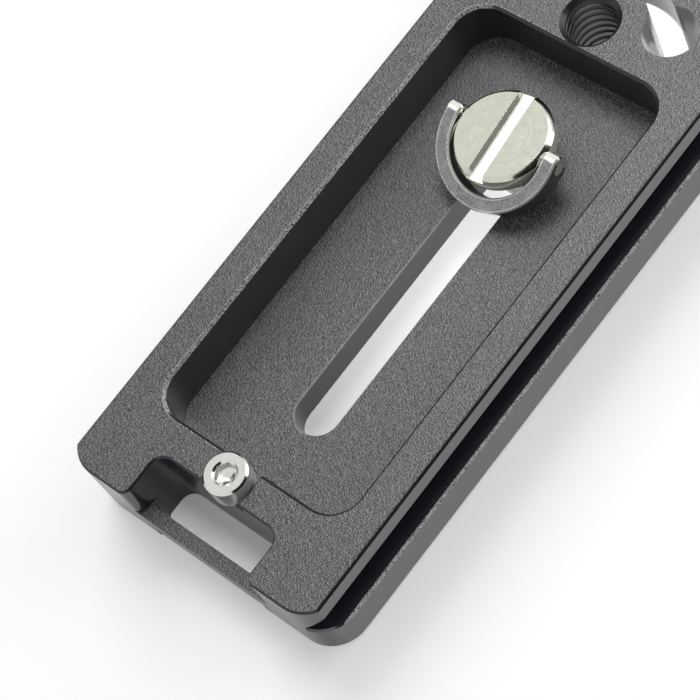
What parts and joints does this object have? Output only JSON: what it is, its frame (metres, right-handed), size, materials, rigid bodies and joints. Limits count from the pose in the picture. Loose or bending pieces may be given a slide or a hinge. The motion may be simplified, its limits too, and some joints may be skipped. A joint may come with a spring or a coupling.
{
  "type": "tripod quick release plate",
  "caption": "Long quick release plate with side dovetails, pocket, camera screw with folding D-ring in a slot, strap bar, threaded hole and stop screws.",
  "frame": {"origin": "centre of the camera face, the flat face that the plate lies on", "axes": "+Z from the camera face up to the rim, +Y along the plate to the end with the threaded hole, +X across the plate"},
  "size_m": [0.0398, 0.1, 0.0121],
  "materials": {
    "black_anodised": "black anodised, bead blasted on the rim",
    "turned_steel": "turned, bright",
    "ring_steel": "tumbled matte with bright edges",
    "pin_steel": "ground",
    "stop_screw_steel": "bright stainless"
  },
  "bodies": {
    "plate": {"plate_body": "black_anodised", "stop_screw_near": "stop_screw_steel", "stop_screw_far": "stop_screw_steel"},
    "screw": {"camera_screw": "turned_steel"},
    "ring": {"d_ring": "ring_steel", "ring_pivot_pins": "pin_steel"}
  },
  "joints": [
    {"name": "camera_screw_turn", "type": "hinge", "parent": "plate", "child": "screw", "pos_m": [0, 0.00955, 0.0105], "axis": [0, 0, 1], "continuous": true},
    {"name": "ring_fold", "type": "hinge", "parent": "screw", "child": "ring", "pos_m": [0, 0.00955, 0.009], "axis": [-1, 0, 0], "range_deg": [0, 233.1]}
  ]
}
